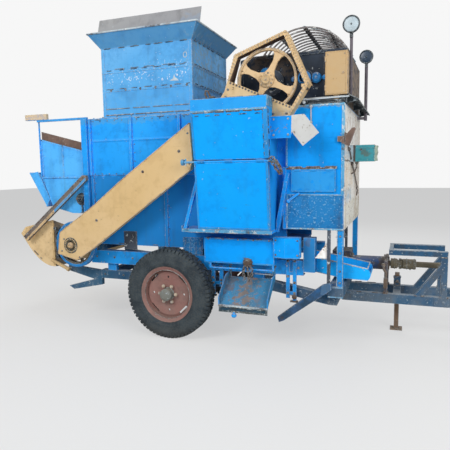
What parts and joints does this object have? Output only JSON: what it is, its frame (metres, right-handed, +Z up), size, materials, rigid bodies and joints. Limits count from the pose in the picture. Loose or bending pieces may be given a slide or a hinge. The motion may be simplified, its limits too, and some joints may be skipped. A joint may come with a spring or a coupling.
{
  "type": "tractor drawn thresher",
  "caption": "Two-wheeled towed thresher with a flared feed hopper, belt guards, side cabinets, rear chute and shaft-driven drawbar.",
  "frame": {"origin": "on the ground, under the middle of the machine's bounding box", "axes": "+X toward the drawbar, +Y the far side, +Z up"},
  "size_m": [4.6619, 1.748, 2.7582],
  "materials": {
    "tyre": "dusty",
    "red_paint": "faded",
    "cream_paint": "faded",
    "rusty_steel": "rusty",
    "dark_steel": "dull",
    "teal_paint": "worn",
    "white_paint": "worn",
    "blue_paint": "faded"
  },
  "bodies": {
    "chassis": {"running_rails": "blue_paint", "body_rails": "blue_paint", "rail_stands": "blue_paint", "cross_bars": "blue_paint", "front_cross": "blue_paint", "front_posts": "blue_paint", "rear_beams": "blue_paint", "axle_beam": "rusty_steel", "body_side_near": "blue_paint", "body_side_far": "blue_paint", "body_floor": "blue_paint", "body_rear_wall": "blue_paint", "body_deck": "blue_paint", "hopper_sides": "blue_paint", "hopper_ends": "blue_paint", "hopper_board": "blue_paint", "cabinet_case": "blue_paint", "cabinet_top": "blue_paint", "front_near_side": "blue_paint", "front_far_side": "blue_paint", "front_face": "cream_paint", "braces": "blue_paint", "blank_plate": "white_paint", "drum_housing": "dark_steel", "drum_cage": "dark_steel", "pulley_guard": "cream_paint", "cream_box": "cream_paint", "belt_guard": "cream_paint", "boot": "cream_paint", "rear_sides": "blue_paint", "rear_frame": "blue_paint", "rear_strut": "blue_paint", "skirt_box": "blue_paint", "return_box": "blue_paint", "discharge_chute": "blue_paint", "sieve_tray": "blue_paint", "teal_box": "teal_paint", "lamps": "dark_steel", "drawbar_rails": "blue_paint", "drawbar_nose": "blue_paint", "leg_sleeve": "blue_paint", "draw_frames": "blue_paint", "input_bearing": "rusty_steel"},
    "wheel_near": {"tyre_near": "tyre", "rim_near": "red_paint"},
    "wheel_far": {"tyre_far": "tyre", "rim_far": "red_paint"},
    "drum": {"drum": "rusty_steel"},
    "drive": {"drive_pulley": "cream_paint"},
    "boot_drive": {"boot_pulley": "cream_paint"},
    "input": {"input_shaft": "rusty_steel"},
    "leg": {"parking_leg": "rusty_steel"},
    "cabinet_door": {"cabinet_door": "blue_paint"},
    "front_flap": {"front_flap": "blue_paint"},
    "rear_lip": {"rear_lip": "blue_paint"}
  },
  "joints": [
    {"name": "near_wheel_spin", "type": "hinge", "parent": "chassis", "child": "wheel_near", "pos_m": [-0.6, -0.715, 0.38], "axis": [0, 1, 0], "continuous": true},
    {"name": "far_wheel_spin", "type": "hinge", "parent": "chassis", "child": "wheel_far", "pos_m": [-0.6, 0.715, 0.38], "axis": [0, 1, 0], "continuous": true},
    {"name": "drum_spin", "type": "hinge", "parent": "chassis", "child": "drum", "pos_m": [0.5, 0, 2.09], "axis": [0, 1, 0], "continuous": true},
    {"name": "drive_spin", "type": "hinge", "parent": "chassis", "child": "drive", "pos_m": [0.238, -0.6, 2.076], "axis": [0, 1, 0], "continuous": true},
    {"name": "boot_drive_spin", "type": "hinge", "parent": "chassis", "child": "boot_drive", "pos_m": [-1.59, -0.63, 0.745], "axis": [0, 1, 0], "continuous": true},
    {"name": "input_spin", "type": "hinge", "parent": "chassis", "child": "input", "pos_m": [1.2, 0, 0.592], "axis": [1, 0, 0], "continuous": true},
    {"name": "leg_slide", "type": "slide", "parent": "chassis", "child": "leg", "axis": [0, 0, 1], "range_m": [0, 0.25]},
    {"name": "cabinet_door_swing", "type": "hinge", "parent": "chassis", "child": "cabinet_door", "pos_m": [-0.009, -0.818, 1.468], "axis": [-1, 0, 0], "range_deg": [0, 85]},
    {"name": "front_flap_swing", "type": "hinge", "parent": "chassis", "child": "front_flap", "pos_m": [0.582, -0.608, 1.393], "axis": [-1, 0, 0], "range_deg": [0, 95]},
    {"name": "rear_lip_swing", "type": "hinge", "parent": "chassis", "child": "rear_lip", "pos_m": [-2.004, 0, 1.084], "axis": [0, -1, 0], "range_deg": [0, 55]}
  ]
}
